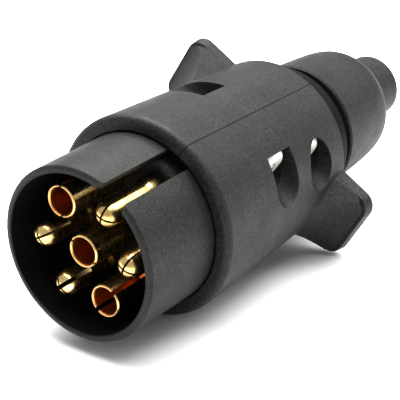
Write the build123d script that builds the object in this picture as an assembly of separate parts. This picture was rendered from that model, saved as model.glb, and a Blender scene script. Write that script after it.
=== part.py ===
from build123d import *
import math
import os

# Seven-pole trailer plug: two half shells with finger wings, an insert with three
# tube and four pin contacts, and a cable gland at the rear.  Millimetres.
# The plug axis is Y, the mating rim lies in y = 0 and the gland points to +Y.
# Everything is built with the keyway straight up (+Z) and then rolled about Y
# into the attitude in which the plug rests on its sleeve and one wing.

ROLL = 31.8

# shroud and insert
SHROUD_R = 20.75
SHROUD_BORE_R = 18.97
SHROUD_END = 28.4
SHROUD_FLANGE_R = 22.4
SHROUD_FLANGE_T = 3.0
KEYWAY_W = 6.4
KEYWAY_END = 24.8
CARRIER_R = 18.6
CARRIER_FACE = 19.3
CARRIER_NECK_R = 17.7
CARRIER_FLANGE_R = 21.0
CARRIER_END = 32.0

# contacts: angles from the right-hand wing towards the keyway
CIRCLE_R = 12.0
TUBE_R = 3.9
TUBE_BORE_R = 3.25
TUBE_MOUTH = 2.3
PIN_R = 3.0
PIN_TIP = 1.3
PIN_SLOT_END = 9.3
PIN_SHOULDER_R = 3.45
PIN_SHOULDER = 15.3
PIN_BARREL_START = 21.6
BARREL_R = 3.75
BARREL_END = 42.0
CENTRE_BARREL_END = 50.0
WIRE_BORE_R = 1.9
TUBES = {"centre": (None, 0, 0.55), "upper": (150, 122, 0.55), "lower": (-30, 81, 1.0)}
PINS = {"top": (90, 14, 0.5), "right": (30, 8, 0.5), "bottom": (-90, 70, 1.0), "left": (-150, 60, 0.5)}

# half shells
SLEEVE_FRONT = 22.8
SLEEVE_REAR = 75.8
SLEEVE_FRONT_R = 24.57
SLEEVE_REAR_R = 21.75
SEAM_GAP = 0.16
WALL_RIB_R = 19.5
GROOVE_R = 18.4
GROOVE_START = 69.6
GROOVE_END = 72.5

# finger wings
WING_TIP = 31.35
WING_DRAFT = 6.0
LEFT_WING_LIFT = 0.7
WING_HALF_W = 10.05
WING_CORNER = 4.0
WING_T = 3.7
WING_FRONT_EDGE = 0.4
WING_REAR_EDGE = 0.9
PAD_ROOT = (21.8, 62.5)
PAD_DISH = (25.0, 68.4)
PAD_TOP = (30.3, 72.2)
PAD_ROOT_HALF_W = 5.0
PAD_HALF_W = 9.6
PAD_CORNER = 4.4

# housing screws: (y, z, seat of the head, floor of the nut pocket); the front pair
# takes nuts in open windows of the left shell, the rear pair bites into blind bosses
SCREWS = [(49.0, 16.1, 8.6, 6.0), (64.3, 14.2, 9.5, 7.0)]
WINDOW_R = (4.8, 4.9)
NUT_WINDOW_R = 4.45
WINDOW_TOP = 20.6
WINDOW_SLOPE = 3.0
SCREW_R = 1.95
HEAD_R = 4.4
HEAD_H = 3.0
RING_BORE_R = 7.2
NUT_AF = 7.0
NUT_T = 3.2

# gland
COLLAR_R = 17.95
COLLAR_END = 83.4
THREAD_R = 14.0
THREAD_ROOT_R = 12.9
THREAD_PITCH = 2.0
THREAD_END = 100.0
CABLE_PASSAGE_R = 7.0
SEAL_SEAT_R = 11.0
NUT_FRONT = 87.0
NUT_BORE_R = 14.35
NUT_STEP = 103.6
NUT_FLOOR = 107.6
SPOUT_R = 8.75
SPOUT_BORE_R = 6.6
SPOUT_END = 125.5


def turned(*outline):
    """Solid of revolution about the plug axis from a closed (radius, station) outline."""
    return revolve(make_face(Polyline(*outline, close=True)), axis=Axis.Y)


def rod(r, y0, y1, x=0.0, z=0.0):
    """Cylinder along the plug axis."""
    base = Plane(origin=(x, y0, z), x_dir=(1, 0, 0), z_dir=(0, 1, 0))
    return extrude(base * Circle(r), amount=y1 - y0)


def across(sketch, x0, x1):
    """Extrude a (y, z) sketch along X from x0 to x1."""
    base = Plane(origin=(x0, 0, 0), x_dir=(0, 1, 0), z_dir=(1, 0, 0))
    return extrude(base * sketch, amount=x1 - x0)


def block(x0, x1, y0, y1, z0, z1):
    centre = ((x0 + x1) / 2, (y0 + y1) / 2, (z0 + z1) / 2)
    return Pos(*centre) * Box(x1 - x0, y1 - y0, z1 - z0)


def on_circle(angle):
    """Centre of a contact; None is the middle one."""
    if angle is None:
        return 0.0, 0.0
    a = math.radians(angle)
    return CIRCLE_R * math.cos(a), CIRCLE_R * math.sin(a)


def contact_places():
    places = [(name, spec[0]) for name, spec in TUBES.items()]
    return places + [(name, spec[0]) for name, spec in PINS.items()]


# ---------------------------------------------------------------- front insert
def contact_shroud():
    rim = [
        (SHROUD_BORE_R, 0.25),
        (SHROUD_BORE_R + 0.1, 0.06),
        (SHROUD_BORE_R + 0.3, 0.0),
        (SHROUD_R - 0.9, 0.05),
        (SHROUD_R - 0.45, 0.22),
        (SHROUD_R - 0.12, 0.48),
        (SHROUD_R, 0.7),
    ]
    flange_front = SHROUD_END - SHROUD_FLANGE_T
    body = turned(
        *rim,
        (SHROUD_R, SLEEVE_FRONT - 0.2),
        (SHROUD_R - 0.3, SLEEVE_FRONT + 0.1),
        (SHROUD_R - 0.3, flange_front),
        (SHROUD_FLANGE_R, flange_front),
        (SHROUD_FLANGE_R, SHROUD_END),
        (SHROUD_BORE_R, SHROUD_END),
    )
    half = KEYWAY_W / 2
    body -= block(-half, half, -1, KEYWAY_END, 14, 24)
    mouth = Polyline((-half - 0.9, -0.1), (half + 0.9, -0.1), (half, 1.1), (-half, 1.1), close=True)
    body -= extrude(Plane.XY.offset(14) * make_face(mouth), amount=10)
    for side in (-1, 1):
        body -= Pos(side * 22.4, flange_front + 1.5, 0) * Box(2.4, 3.4, 4.4)
    return body


def contact_carrier():
    body = turned(
        (0, CARRIER_FACE),
        (CARRIER_R - 0.4, CARRIER_FACE),
        (CARRIER_R, CARRIER_FACE + 0.4),
        (CARRIER_R, CARRIER_FACE + 2.1),
        (CARRIER_NECK_R, CARRIER_FACE + 2.2),
        (CARRIER_NECK_R, SHROUD_END - 3.0),
        (CARRIER_R, SHROUD_END - 2.8),
        (CARRIER_R, SHROUD_END + 0.1),
        (CARRIER_FLANGE_R, SHROUD_END + 0.1),
        (CARRIER_FLANGE_R, CARRIER_END),
        (0, CARRIER_END),
    )
    for name, angle in contact_places():
        x, z = on_circle(angle)
        mouth = TUBE_R if name in TUBES else PIN_SHOULDER_R
        body -= rod(mouth + 0.05, CARRIER_FACE - 1, CARRIER_FACE + 2.2, x, z)
        body -= rod(TUBE_R + 0.05, CARRIER_FACE + 2.1, CARRIER_END + 1, x, z)
    return body


def contact_retainer():
    body = rod(CARRIER_FLANGE_R, 33.4, 35.2)
    for name, angle in contact_places():
        x, z = on_circle(angle)
        body -= rod(BARREL_R + 0.1, 33, 36, x, z)
    return body


def terminal_barrel(x, z, start, end, screw_angle):
    """Rear half of a contact: shank, retaining collar, wire bore and tapped screw hole."""
    body = rod(BARREL_R, start, end, x, z)
    body += rod(4.6, CARRIER_END + 0.05, 33.35, x, z)
    body -= rod(WIRE_BORE_R, 34.5, end + 1, x, z)
    hole = extrude(radial_plane(x, z, end - 4.0, screw_angle) * Circle(1.25), amount=6)
    return body - hole


def radial_plane(x, z, y, angle):
    """Plane on a contact axis whose normal points outwards at the given angle."""
    a = math.radians(angle)
    return Plane(origin=(x, y, z), x_dir=(0, 1, 0), z_dir=(math.cos(a), 0, math.sin(a)))


def slit(x, z, angle, width, y0, y1, reach):
    """Thin slot through a contact, along its axis."""
    cut = Box(2 * reach, y1 - y0, width)
    return Pos(x, (y0 + y1) / 2, z) * Rot(0, -angle, 0) * cut


def barrel_end(angle):
    return CENTRE_BARREL_END if angle is None else BARREL_END


def screw_direction(angle):
    return -90 if angle is None else angle


def tube_contact(angle, slit_angle, slit_width):
    x, z = on_circle(angle)
    wall = turned(
        (TUBE_BORE_R + 0.25, TUBE_MOUTH),
        (TUBE_R - 0.25, TUBE_MOUTH),
        (TUBE_R, TUBE_MOUTH + 0.25),
        (TUBE_R, CARRIER_FACE + 0.3),
        (0, CARRIER_FACE + 0.3),
        (0, CARRIER_FACE - 0.3),
        (TUBE_BORE_R, 18.0),
        (TUBE_BORE_R, TUBE_MOUTH + 0.3),
    )
    wall -= slit(0, 0, slit_angle, slit_width, TUBE_MOUTH - 1, 15.5, 5)
    rear = terminal_barrel(x, z, CARRIER_FACE + 0.2, barrel_end(angle), screw_direction(angle))
    return rear + Pos(x, 0, z) * wall


def pin_contact(angle, slit_angle, wide):
    x, z = on_circle(angle)
    pin = Pos(0, PIN_TIP + PIN_R, 0) * Sphere(PIN_R)
    pin += rod(PIN_R, PIN_TIP + PIN_R, PIN_SHOULDER + 0.5)
    pin += turned(
        (0, PIN_SHOULDER),
        (PIN_R, PIN_SHOULDER),
        (PIN_SHOULDER_R, PIN_SHOULDER + 1.2),
        (PIN_SHOULDER_R, PIN_BARREL_START + 0.1),
        (0, PIN_BARREL_START + 0.1),
    )
    pin -= slit(0, 0, slit_angle, wide, PIN_TIP - 1, PIN_SLOT_END, 5)
    pin -= slit(0, 0, slit_angle + 90, 0.5, PIN_TIP - 1, PIN_SLOT_END, 5)
    rear = terminal_barrel(x, z, PIN_BARREL_START, barrel_end(angle), screw_direction(angle))
    return rear + Pos(x, 0, z) * pin


def terminal_screw(angle):
    """Slotted screw that grips the wire in a terminal barrel."""
    x, z = on_circle(angle)
    seat = radial_plane(x, z, barrel_end(angle) - 4.0, screw_direction(angle))
    shank = extrude(seat.offset(2.0) * Circle(1.2), amount=3.0)
    head = extrude(seat.offset(4.0) * Circle(2.0), amount=1.4)
    body = shank + head
    return body - extrude(seat.offset(4.8) * Rectangle(5, 0.6), amount=1.2)


# ---------------------------------------------------------------- half shells
def sleeve_radius(y):
    t = (y - SLEEVE_FRONT) / (SLEEVE_REAR - SLEEVE_FRONT)
    return SLEEVE_FRONT_R + t * (SLEEVE_REAR_R - SLEEVE_FRONT_R)


def sleeve_envelope():
    """Outside of both shells as one solid, with its rounded front and rear edges."""
    front = SLEEVE_FRONT
    rear = SLEEVE_REAR
    edge = 1.8
    line = Line((0, front), (SLEEVE_FRONT_R - edge, front))
    nose = ThreePointArc(
        (SLEEVE_FRONT_R - edge, front),
        (sleeve_radius(front + 0.53) - 0.53, front + 0.53),
        (sleeve_radius(front + edge), front + edge),
    )
    side = Line((sleeve_radius(front + edge), front + edge), (sleeve_radius(rear - 0.5), rear - 0.5))
    heel = Line((sleeve_radius(rear - 0.5), rear - 0.5), (SLEEVE_REAR_R - 0.5, rear))
    back = Line((SLEEVE_REAR_R - 0.5, rear), (0, rear))
    axis = Line((0, rear), (0, front))
    return revolve(make_face([line, nose, side, heel, back, axis]), axis=Axis.Y)


def sleeve_cavity():
    return turned(
        (0, SLEEVE_FRONT - 1),
        (21.15, SLEEVE_FRONT - 1),
        (21.15, 25.2),
        (SHROUD_FLANGE_R + 0.2, 25.2),
        (SHROUD_FLANGE_R + 0.2, SHROUD_END + 0.1),
        (21.3, SHROUD_END + 0.1),
        (21.3, 35.3),
        (WALL_RIB_R, 35.3),
        (WALL_RIB_R, 37.3),
        (20.9, 37.3),
        (18.7, 67.2),
        (15.6, 67.2),
        (15.6, GROOVE_START),
        (GROOVE_R, GROOVE_START),
        (GROOVE_R, GROOVE_END),
        (15.4, GROOVE_END),
        (15.4, SLEEVE_REAR + 1),
        (0, SLEEVE_REAR + 1),
    )


def wing():
    """Finger wing on the +X side: rounded rear flange and a sloping thumb pad."""
    rear = SLEEVE_REAR
    flange_plane = Plane(origin=(0, rear, 0), x_dir=(1, 0, 0), z_dir=(0, -1, 0))
    length = WING_TIP + 20
    outline = Pos(WING_TIP - length / 2, 0) * RectangleRounded(length, 2 * WING_HALF_W, WING_CORNER)
    flange = extrude(flange_plane * outline, amount=WING_T, taper=WING_DRAFT)
    rims = flange.edges().filter_by(Plane.XZ).group_by(Axis.Y)
    flange = fillet(rims[-1], WING_REAR_EDGE)
    rims = flange.edges().filter_by(Plane.XZ).group_by(Axis.Y)
    flange = fillet(rims[0], WING_FRONT_EDGE)
    pad_outline = make_face([
        Line((15, 62.5), PAD_ROOT),
        ThreePointArc(PAD_ROOT, PAD_DISH, PAD_TOP),
        Polyline(PAD_TOP, (PAD_TOP[0], rear - 1), (15, rear - 1), (15, 62.5)),
    ])
    pad = extrude(pad_outline, amount=WING_HALF_W, both=True)
    pad &= extrude(
        Plane(origin=(0, rear - 1, 0), x_dir=(1, 0, 0), z_dir=(0, -1, 0))
        * Pos(PAD_TOP[0] - length / 2, 0)
        * RectangleRounded(length, 2 * PAD_HALF_W, PAD_CORNER),
        amount=20,
    )
    for side in (-1, 1):
        root = Vector(PAD_ROOT[0], PAD_ROOT[1], side * PAD_ROOT_HALF_W)
        heel = Vector(19.8, 71.5, side * 10.0)
        tip = Vector(28.5, 72.6, side * 9.6)
        normal = (heel - root).cross(tip - root)
        if normal.Z * side < 0:
            normal = normal * -1
        facet = Plane(origin=root, z_dir=normal)
        pad -= extrude(facet * Rectangle(90, 90), amount=30)
    return flange + pad


def window(index, r, floor, z_side):
    """Screw window cut inwards from the +X side down to its floor; the front one is flat-topped."""
    y, z, seat, nut_floor = SCREWS[index]
    outline = Pos(y, z * z_side) * Circle(r)
    if index == 0:
        height = WINDOW_TOP + 1 - z
        outline += Pos(y, z_side * (z + height / 2)) * Rectangle(2 * r, height)
        lid = Pos(0, z_side * 5) * Rectangle(2 * r + 4, 10)
        outline -= Pos(y, z_side * WINDOW_TOP) * Rot(0, 0, -z_side * WINDOW_SLOPE) * lid
    return across(outline, floor, 40)


def half_shell(nut_side, lift=0.0):
    """The +X shell; with nut_side it carries hexagon pockets instead of screw seats.

    Its wing stands off the middle plane by lift.
    """
    envelope = sleeve_envelope()
    body = envelope - sleeve_cavity()
    body += Pos(0, 0, lift) * wing() - rod(20.0, 50, 90)
    keep = block(SEAM_GAP / 2, 60, 0, 120, -60, 60)
    body += block(21.4, 23.0, 25.2, SHROUD_END + 0.1, -2, 2)
    for side in (-1, 1):
        for index, (y, z, seat, nut_floor) in enumerate(SCREWS):
            boss = across(Pos(y, z * side) * Circle(WINDOW_R[index] + 1.2), 0, 30)
            body += boss & envelope
    body -= rod(GROOVE_R, GROOVE_START, GROOVE_END)
    for side in (-1, 1):
        for index, (y, z, seat, nut_floor) in enumerate(SCREWS):
            if nut_side and index == 1:
                body -= across(Pos(y, z * side) * Circle(SCREW_R + 0.08), -1, nut_floor + NUT_T + 1)
                continue
            body -= across(Pos(y, z * side) * Circle(SCREW_R + 0.25), -1, 30)
            if nut_side:
                body -= window(index, NUT_WINDOW_R, nut_floor + NUT_T + 0.4, side)
                pocket = RegularPolygon(NUT_AF / 2 + 0.1, 6, major_radius=False)
                body -= across(Pos(y, z * side) * pocket, nut_floor, 30)
            else:
                body -= window(index, WINDOW_R[index], seat, side)
    return body & keep


# ---------------------------------------------------------------- housing fasteners
def housing_screw(y, z, seat, nut_floor):
    """Pan-head screw with a cross recess, head outwards on the +X side."""
    plane = Plane(origin=(seat, y, z), x_dir=(0, 1, 0), z_dir=(1, 0, 0))
    profile = make_face([
        Line((0, 0), (HEAD_R, 0)),
        Line((HEAD_R, 0), (HEAD_R, 1.2)),
        ThreePointArc((HEAD_R, 1.2), (HEAD_R - 0.4, 2.2), (3.3, HEAD_H - 0.12)),
        Line((3.3, HEAD_H - 0.12), (0, HEAD_H)),
        Line((0, HEAD_H), (0, 0)),
    ])
    head = revolve(Rot(90, 0, 0) * profile, axis=Axis.Z)
    for turn in (20, 110):
        head -= Pos(0, 0, HEAD_H) * Rot(0, 0, turn) * Box(4.6, 0.95, 3.0)
    length = seat + nut_floor + NUT_T + 0.5
    shank = Pos(0, 0, -length / 2 + 0.1) * Cylinder(SCREW_R, length)
    return plane.location * (head + shank)


def housing_nut(y, z, nut_floor):
    outline = RegularPolygon(NUT_AF / 2, 6, major_radius=False) - Circle(SCREW_R + 0.08)
    return across(Pos(y, z) * outline, -nut_floor - 0.05 - NUT_T, -nut_floor - 0.05)


def screw_places():
    return [(y, z * side, seat, floor) for y, z, seat, floor in SCREWS for side in (1, -1)]


# ---------------------------------------------------------------- cable gland
def thread_outline(start, end):
    """Ridges of the gland thread as (radius, station) points."""
    points = []
    count = int((end - start) / THREAD_PITCH)
    for i in range(count):
        y = start + i * THREAD_PITCH
        points += [(THREAD_ROOT_R, y), (THREAD_R, y + 0.7), (THREAD_R, y + 1.0), (THREAD_ROOT_R, y + 1.7)]
    return points


def gland_body():
    """One-piece collar: inner flange held by both shells, outer ring and threaded tail."""
    return turned(
        (CABLE_PASSAGE_R, GROOVE_START + 0.2),
        (GROOVE_R - 0.2, GROOVE_START + 0.2),
        (GROOVE_R - 0.2, GROOVE_END - 0.2),
        (15.2, GROOVE_END - 0.2),
        (15.2, SLEEVE_REAR + 0.08),
        (COLLAR_R, SLEEVE_REAR + 0.08),
        (COLLAR_R, COLLAR_END - 0.4),
        (COLLAR_R - 0.4, COLLAR_END),
        (THREAD_ROOT_R - 0.4, COLLAR_END),
        (THREAD_ROOT_R - 0.4, COLLAR_END + 1.6),
        *thread_outline(COLLAR_END + 1.6, THREAD_END - 0.8),
        (THREAD_ROOT_R - 0.2, THREAD_END),
        (SEAL_SEAT_R, THREAD_END),
        (SEAL_SEAT_R, 89.5),
        (CABLE_PASSAGE_R, 88.0),
    )


def cable_seal():
    """Rubber sleeve squeezed on to the cable."""
    return turned(
        (6.2, 90.2),
        (9.8, 90.2),
        (10.75, 91.2),
        (10.75, 98.6),
        (9.4, 99.8),
        (6.8, 99.8),
        (6.2, 99.0),
    )


def compression_ring():
    """Slip ring between the turning nut and the seal."""
    return turned((RING_BORE_R, 104.0), (9.3, 103.9), (12.0, 105.2), (12.0, 107.45), (RING_BORE_R, 107.45))


def gland_nut():
    """Barrel-shaped nut with a bend-relief spout on its tail."""
    flank = [(16.8, 87.5), (16.3, 94.0), (15.9, 100.0), (15.35, 105.0), (14.1, 108.8), (12.9, 110.4)]
    outside = Spline(flank, tangents=[(-0.09, 1), (-0.75, 1)])
    spout_edge = ThreePointArc((8.45, SPOUT_END - 1.7), (8.0, SPOUT_END - 0.5), (7.1, SPOUT_END))
    edges = [
        Line((NUT_BORE_R, NUT_FRONT + 0.3), (NUT_BORE_R + 0.3, NUT_FRONT)),
        Line((NUT_BORE_R + 0.3, NUT_FRONT), (16.4, NUT_FRONT)),
        Line((16.4, NUT_FRONT), flank[0]),
        outside,
        Line(flank[-1], (12.5, 110.7)),
        Line((12.5, 110.7), (9.6, 111.0)),
        ThreePointArc((9.6, 111.0), (9.0, 111.25), (SPOUT_R, 112.0)),
        Line((SPOUT_R, 112.0), (8.45, SPOUT_END - 1.7)),
        spout_edge,
        Line((7.1, SPOUT_END), (SPOUT_BORE_R, SPOUT_END - 0.4)),
        Line((SPOUT_BORE_R, SPOUT_END - 0.4), (SPOUT_BORE_R, NUT_FLOOR)),
        Line((SPOUT_BORE_R, NUT_FLOOR), (12.6, NUT_FLOOR)),
        Line((12.6, NUT_FLOOR), (12.6, NUT_STEP)),
        Line((12.6, NUT_STEP), (NUT_BORE_R, NUT_STEP)),
        Line((NUT_BORE_R, NUT_STEP), (NUT_BORE_R, NUT_FRONT + 0.3)),
    ]
    return revolve(make_face(edges), axis=Axis.Y)


# ---------------------------------------------------------------- assembly
def build_parts():
    left = mirror(half_shell(nut_side=True, lift=LEFT_WING_LIFT), about=Plane.YZ)
    parts = {
        "shell_right": half_shell(nut_side=False),
        "shell_left": left,
        "contact_shroud": contact_shroud(),
        "contact_carrier": contact_carrier(),
        "contact_retainer": contact_retainer(),
        "gland_body": gland_body(),
        "cable_seal": cable_seal(),
        "compression_ring": compression_ring(),
        "gland_nut": gland_nut(),
        "housing_screws": [housing_screw(*place) for place in screw_places()],
        "housing_nuts": [housing_nut(y, z, floor) for y, z, seat, floor in screw_places()[:2]],
    }
    for name, (angle, slit_angle, width) in TUBES.items():
        parts["contact_tube_" + name] = tube_contact(angle, slit_angle, width)
        parts["terminal_screw_" + name] = terminal_screw(angle)
    for name, (angle, slit_angle, width) in PINS.items():
        parts["contact_pin_" + name] = pin_contact(angle, slit_angle, width)
        parts["terminal_screw_" + name] = terminal_screw(angle)
    return parts


def solids_of(shape):
    pieces = shape if isinstance(shape, list) else [shape]
    return [solid for piece in pieces for solid in piece.solids()]


def main():
    os.makedirs("parts", exist_ok=True)
    for name, shape in build_parts().items():
        solids = [solid.rotate(Axis.Y, ROLL) for solid in solids_of(shape)]
        placed = solids[0] if len(solids) == 1 else Compound(solids)
        placed.label = name
        export_step(placed, "parts/" + name + ".step")


main()
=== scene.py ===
import math
import bpy
from mathutils import Matrix, Vector


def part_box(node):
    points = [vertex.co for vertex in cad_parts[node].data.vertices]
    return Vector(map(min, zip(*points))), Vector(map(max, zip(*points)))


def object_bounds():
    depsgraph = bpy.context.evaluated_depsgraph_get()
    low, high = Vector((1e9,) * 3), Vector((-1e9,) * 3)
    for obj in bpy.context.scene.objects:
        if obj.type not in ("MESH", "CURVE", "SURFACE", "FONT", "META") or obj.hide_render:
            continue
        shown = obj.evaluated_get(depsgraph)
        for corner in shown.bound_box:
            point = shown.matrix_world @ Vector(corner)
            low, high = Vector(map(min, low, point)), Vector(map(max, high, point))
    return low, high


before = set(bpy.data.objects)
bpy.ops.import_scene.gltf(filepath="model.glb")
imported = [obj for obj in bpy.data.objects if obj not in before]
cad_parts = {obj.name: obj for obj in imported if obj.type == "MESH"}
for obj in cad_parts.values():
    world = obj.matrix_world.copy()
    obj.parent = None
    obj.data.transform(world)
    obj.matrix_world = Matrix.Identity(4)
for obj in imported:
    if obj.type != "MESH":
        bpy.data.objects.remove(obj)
cad_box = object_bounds()
scene = bpy.context.scene
MM = 0.001


# ---------------------------------------------------------------- node helpers
class Nodes:
    """Short-hand for building one node material on the object's own coordinates."""

    def __init__(self, name):
        self.mat = bpy.data.materials.new(name)
        self.mat.use_nodes = True
        self.tree = self.mat.node_tree
        self.tree.nodes.clear()
        self.out = self.add("ShaderNodeOutputMaterial")
        self.bsdf = self.add("ShaderNodeBsdfPrincipled")
        self.link(self.bsdf, "BSDF", self.out, "Surface")
        self.coords = self.add("ShaderNodeTexCoord")

    def add(self, kind, **values):
        node = self.tree.nodes.new(kind)
        for key, value in values.items():
            setattr(node, key, value)
        return node

    def link(self, a, out, b, into):
        self.tree.links.new(a.outputs[out], b.inputs[into])

    def noise(self, scale, detail=3.0, rough=0.55, stretch=None):
        """Noise of scale waves per metre; stretch multiplies that along each axis."""
        node = self.add("ShaderNodeTexNoise")
        node.inputs["Scale"].default_value = scale
        node.inputs["Detail"].default_value = detail
        node.inputs["Roughness"].default_value = rough
        if stretch:
            mapping = self.add("ShaderNodeMapping")
            mapping.inputs["Scale"].default_value = stretch
            self.link(self.coords, "Object", mapping, "Vector")
            self.link(mapping, "Vector", node, "Vector")
        else:
            self.link(self.coords, "Object", node, "Vector")
        return node

    def ramp(self, source, out, stops):
        """Colours over a value, from (place, colour) stops."""
        node = self.add("ShaderNodeValToRGB")
        ramp = node.color_ramp
        while len(ramp.elements) < len(stops):
            ramp.elements.new(0.5)
        for element, (place, colour) in zip(ramp.elements, stops):
            element.position = place
            element.color = (*colour, 1.0)
        self.link(source, out, node, "Fac")
        return node

    def remap(self, source, out, low, high, start=0.3, end=0.7):
        node = self.add("ShaderNodeMapRange")
        node.inputs["From Min"].default_value = start
        node.inputs["From Max"].default_value = end
        node.inputs["To Min"].default_value = low
        node.inputs["To Max"].default_value = high
        self.link(source, out, node, "Value")
        return node

    def radius_mask(self, x, z, radius, blend, near, far):
        """Near within a radius of the line (x, z) along Y, far beyond it, with a blend just outside."""
        split = self.add("ShaderNodeSeparateXYZ")
        self.link(self.coords, "Object", split, "Vector")
        flat = self.add("ShaderNodeCombineXYZ")
        self.link(split, "X", flat, "X")
        self.link(split, "Z", flat, "Z")
        distance = self.add("ShaderNodeVectorMath", operation="DISTANCE")
        distance.inputs[1].default_value = (x, 0.0, z)
        self.link(flat, "Vector", distance, 0)
        return self.remap(distance, "Value", near, far, radius, radius + blend)

    def multiply(self, a, a_out, b, b_out):
        node = self.add("ShaderNodeMix", data_type="RGBA", blend_type="MULTIPLY")
        node.inputs["Factor"].default_value = 1.0
        self.link(a, a_out, node, "A")
        self.link(b, b_out, node, "B")
        return node

    def mix(self, factor, a, b):
        """From colour a to colour b, as a remapped factor goes from 0 to 1."""
        node = self.add("ShaderNodeMix", data_type="RGBA")
        self.link(factor, "Result", node, "Factor")
        self.link(a, "Color", node, "A")
        self.link(b, "Color", node, "B")
        return node

    def bump(self, source, out, strength, distance, after=None):
        node = self.add("ShaderNodeBump")
        node.inputs["Strength"].default_value = strength
        node.inputs["Distance"].default_value = distance
        self.link(source, out, node, "Height")
        if after:
            self.link(after, "Normal", node, "Normal")
        return node


# ---------------------------------------------------------------- materials
# radii about the plug axis within which a moulding gets painted shade: deep in the shells' screw
# windows, in the shroud's bore, and on the carrier's face inside its edge
SHELL_PAINTED_SHADE_R = 18.5 * MM
SHROUD_PAINTED_SHADE_R = 19.2 * MM
CARRIER_PAINTED_SHADE_R = 17.2 * MM
# radius about a tube's own axis, between its bore and its outside, within which the bore gets painted
# reflection
TUBE_PAINTED_REFLECTION_R = 3.4 * MM
# roughness added to the brass in a tube's bore
TUBE_BORE_ROUGHNESS = 0.1


def moulded_plastic(name, tone, grain, tint=(1.0, 0.99, 0.96), gloss=0.25, painted_shade_r=None, shade=0.2):
    """Fine spark-eroded grain over a slightly uneven satin surface.

    Within the given radius of the plug axis, the moulding's tone is multiplied by shade: painted shade
    for the recesses there.
    """
    n = Nodes(name)
    n.bsdf.inputs["Specular IOR Level"].default_value = gloss
    dark = tuple(tone * 0.86 * t for t in tint)
    light = tuple(tone * 1.14 * t for t in tint)
    colour = n.ramp(n.noise(90, 4.0), "Fac", [(0.3, dark), (0.7, light)])
    speck_stops = [(0.36, (0.45, 0.45, 0.47)), (0.66, (1.6, 1.6, 1.55))]
    speck = n.ramp(n.noise(2000, 3.0, 0.65), "Fac", speck_stops)
    mixed = n.multiply(colour, "Color", speck, "Color")
    # painted shade: the tone is darkened within a radius of the plug axis, where the recesses lie in
    # shade
    if painted_shade_r:
        mask = n.radius_mask(0.0, 0.0, painted_shade_r, blend=0.3 * MM, near=shade, far=1.0)
        mixed = n.multiply(mixed, "Result", mask, "Result")
    n.link(mixed, "Result", n.bsdf, "Base Color")
    n.link(n.remap(n.noise(260, 3.0), "Fac", 0.45, 0.56), "Result", n.bsdf, "Roughness")
    fine = n.bump(n.noise(2600, 2.0, 0.6), "Fac", grain, 0.05 * MM)
    swell = n.bump(n.noise(45, 2.0), "Fac", 0.25, 0.1 * MM, fine)
    n.link(swell, "Normal", n.bsdf, "Normal")
    return n.mat


def turned_brass(name, tube=None):
    """Polished brass with faint turning rings and a darker film in places.

    The bore of a tube contact is less polished and painted copper-red: a painted reflection of light
    bouncing inside the bore.
    """
    n = Nodes(name)
    film = n.noise(160, 4.0, 0.6)
    brass_stops = [(0.3, (0.56, 0.39, 0.15)), (0.52, (0.72, 0.54, 0.25)), (0.75, (0.86, 0.70, 0.41))]
    colour = n.ramp(film, "Fac", brass_stops)
    rings = n.noise(1.0, 3.0, 0.6, stretch=(150, 3000, 150))
    roughness = n.remap(rings, "Fac", 0.20, 0.30)
    if tube:
        low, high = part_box(tube)
        x = (low[0] + high[0]) / 2
        z = (low[2] + high[2]) / 2
        # painted reflection: copper-red colour in the bore standing in for light bouncing inside it
        inside = n.radius_mask(x, z, TUBE_PAINTED_REFLECTION_R, blend=0.2 * MM, near=1.0, far=0.0)
        bore_painted_reflection = n.ramp(film, "Fac", [(0.3, (0.56, 0.22, 0.06)), (0.7, (0.90, 0.42, 0.15))])
        n.link(n.mix(inside, colour, bore_painted_reflection), "Result", n.bsdf, "Base Color")
        duller = n.add("ShaderNodeMath", operation="MULTIPLY_ADD")
        duller.inputs[1].default_value = TUBE_BORE_ROUGHNESS
        n.link(inside, "Result", duller, 0)
        n.link(roughness, "Result", duller, 2)
        n.link(duller, 0, n.bsdf, "Roughness")
    else:
        n.link(colour, "Color", n.bsdf, "Base Color")
        n.link(roughness, "Result", n.bsdf, "Roughness")
    n.bsdf.inputs["Metallic"].default_value = 1.0
    n.link(n.bump(rings, "Fac", 0.05, 0.02 * MM), "Normal", n.bsdf, "Normal")
    return n.mat


def zinc_plate(name, tone, metallic):
    """Cloudy, slightly yellow plating."""
    n = Nodes(name)
    dark = (tone * 0.89, tone * 0.89, tone * 0.84)
    light = (tone * 1.11, tone * 1.11, tone * 1.04)
    colour = n.ramp(n.noise(300, 4.0), "Fac", [(0.3, dark), (0.7, light)])
    n.link(colour, "Color", n.bsdf, "Base Color")
    n.bsdf.inputs["Metallic"].default_value = metallic
    n.link(n.remap(n.noise(900, 3.0), "Fac", 0.3, 0.46), "Result", n.bsdf, "Roughness")
    n.link(n.bump(n.noise(1400, 2.0), "Fac", 0.2, 0.04 * MM), "Normal", n.bsdf, "Normal")
    return n.mat


def seal_rubber(name):
    n = Nodes(name)
    stops = [(0.3, (0.014, 0.014, 0.014)), (0.7, (0.028, 0.028, 0.027))]
    n.link(n.ramp(n.noise(200, 4.0), "Fac", stops), "Color", n.bsdf, "Base Color")
    n.link(n.remap(n.noise(500, 3.0), "Fac", 0.62, 0.8), "Result", n.bsdf, "Roughness")
    n.link(n.bump(n.noise(1500, 2.0), "Fac", 0.3, 0.05 * MM), "Normal", n.bsdf, "Normal")
    return n.mat


def floor_paper(name):
    n = Nodes(name)
    stops = [(0.3, (0.86, 0.86, 0.86)), (0.7, (0.89, 0.89, 0.89))]
    n.link(n.ramp(n.noise(3, 3.0), "Fac", stops), "Color", n.bsdf, "Base Color")
    n.bsdf.inputs["Roughness"].default_value = 0.9
    n.bsdf.inputs["Specular IOR Level"].default_value = 0.1
    return n.mat


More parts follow.
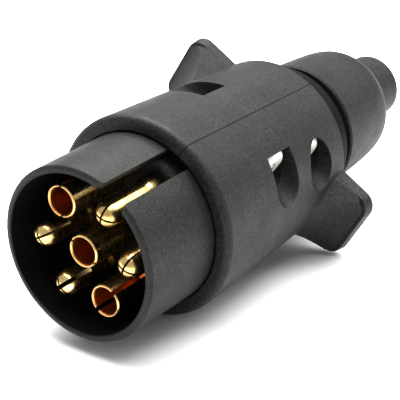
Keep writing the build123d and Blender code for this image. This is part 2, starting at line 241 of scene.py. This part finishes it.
SHELL = moulded_plastic("shell_plastic", tone=0.022, grain=0.9, painted_shade_r=SHELL_PAINTED_SHADE_R, shade=0.3)
INSERT = moulded_plastic("insert_plastic", tone=0.021, grain=0.8, painted_shade_r=SHROUD_PAINTED_SHADE_R)
CARRIER = moulded_plastic(
    "carrier_plastic", tone=0.021, grain=0.5, gloss=0.12, painted_shade_r=CARRIER_PAINTED_SHADE_R
)
# near-black tone for parts deep inside the plug: painted shade over the plastic's own dark grey
INNER_PAINTED_SHADE = moulded_plastic("inner_plastic_painted_shade", tone=0.004, grain=0.5, gloss=0.1)
# near-black tone for the gland body's collar, recessed behind the sleeve: painted shade
COLLAR_PAINTED_SHADE = moulded_plastic("collar_plastic_painted_shade", tone=0.004, grain=0.6, gloss=0.12)
GLAND = moulded_plastic("gland_plastic", tone=0.020, grain=0.7, tint=(0.98, 0.985, 1.0))
BRASS = turned_brass("pin_brass")
ZINC = zinc_plate("screw_zinc", tone=0.74, metallic=0.3)
STEEL = zinc_plate("nut_steel", tone=0.4, metallic=0.85)
RUBBER = seal_rubber("seal_rubber")

FINISH = {
    "shell_right": SHELL,
    "shell_left": SHELL,
    "contact_shroud": INSERT,
    "contact_carrier": CARRIER,
    "contact_retainer": INNER_PAINTED_SHADE,
    "gland_body": COLLAR_PAINTED_SHADE,
    "gland_nut": GLAND,
    "compression_ring": INNER_PAINTED_SHADE,
    "cable_seal": RUBBER,
    "housing_screws": ZINC,
    "housing_nuts": STEEL,
}


def finish_for(node):
    if node.startswith("contact_tube"):
        return turned_brass(node.replace("contact", "brass"), tube=node)
    if node.startswith("contact_pin"):
        return BRASS
    if node.startswith("terminal_screw"):
        return ZINC
    return FINISH[node]


for node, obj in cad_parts.items():
    obj.data.materials.clear()
    obj.data.materials.append(finish_for(node))


# ---------------------------------------------------------------- floor and light
FLOOR_SIZE = 8.0
FLOOR_MIDDLE = (0, 0.05)
FLOOR_GAP = 0.05 * MM
WORLD_STRENGTH = 0.75

floor_z = cad_box[0][2] - FLOOR_GAP
bpy.ops.mesh.primitive_plane_add(size=FLOOR_SIZE, location=(*FLOOR_MIDDLE, floor_z))
floor = bpy.context.object
floor.name = "studio_floor"
floor.data.materials.append(floor_paper("floor_paper"))

world = bpy.data.worlds.new("studio")
scene.world = world
world.use_nodes = True
background = world.node_tree.nodes["Background"]
background.inputs["Color"].default_value = (1, 1, 1, 1)
background.inputs["Strength"].default_value = WORLD_STRENGTH


def softbox(name, place, target, side, power):
    """Square area light that faces its target."""
    data = bpy.data.lights.new(name, "AREA")
    data.shape = "RECTANGLE"
    data.size = side
    data.size_y = side
    data.energy = power
    lamp = bpy.data.objects.new(name, data)
    scene.collection.objects.link(lamp)
    lamp.location = place
    direction = Vector(target) - Vector(place)
    lamp.rotation_euler = direction.to_track_quat("-Z", "Y").to_euler()


softbox("key", (-0.45, 0.3, 0.9), (0, 0.06, 0), side=0.9, power=19.0)
softbox("rear", (0.45, 0.75, 0.7), (0.01, 0.08, 0), side=0.8, power=6.0)
softbox("top", (0.05, 0.25, 1.1), (0.02, 0.06, 0), side=1.4, power=31.0)

# ---------------------------------------------------------------- camera
# azimuth from the -Y side towards +X and elevation in degrees, roll in radians
CAMERA_AZIMUTH = 36.56
CAMERA_ELEVATION = 25.24
CAMERA_ROLL = -0.0115
CAMERA_PLACE = (0.204320416, -0.230103835, 0.157552704)
CAMERA_LENS = 142.8
CAMERA_SENSOR = 36.0
CAMERA_CLIP_START = 0.01
VIEW_GAMMA = 0.8


def camera_matrix():
    az = math.radians(CAMERA_AZIMUTH)
    el = math.radians(CAMERA_ELEVATION)
    level = Vector((math.cos(az), math.sin(az), 0))
    back = Vector((math.sin(az) * math.cos(el), -math.cos(az) * math.cos(el), math.sin(el)))
    upright = back.cross(level)
    right = level * math.cos(CAMERA_ROLL) + upright * math.sin(CAMERA_ROLL)
    up = upright * math.cos(CAMERA_ROLL) - level * math.sin(CAMERA_ROLL)
    matrix = Matrix((right, up, back)).transposed().to_4x4()
    matrix.translation = Vector(CAMERA_PLACE)
    return matrix


camera_data = bpy.data.cameras.new("camera")
camera_data.sensor_width = CAMERA_SENSOR
camera_data.lens = CAMERA_LENS
camera_data.clip_start = CAMERA_CLIP_START
camera = bpy.data.objects.new("camera", camera_data)
scene.collection.objects.link(camera)
camera.matrix_world = camera_matrix()
scene.camera = camera
scene.view_settings.view_transform = "Standard"
scene.view_settings.look = "None"
scene.view_settings.exposure = 0.0
scene.view_settings.gamma = VIEW_GAMMA
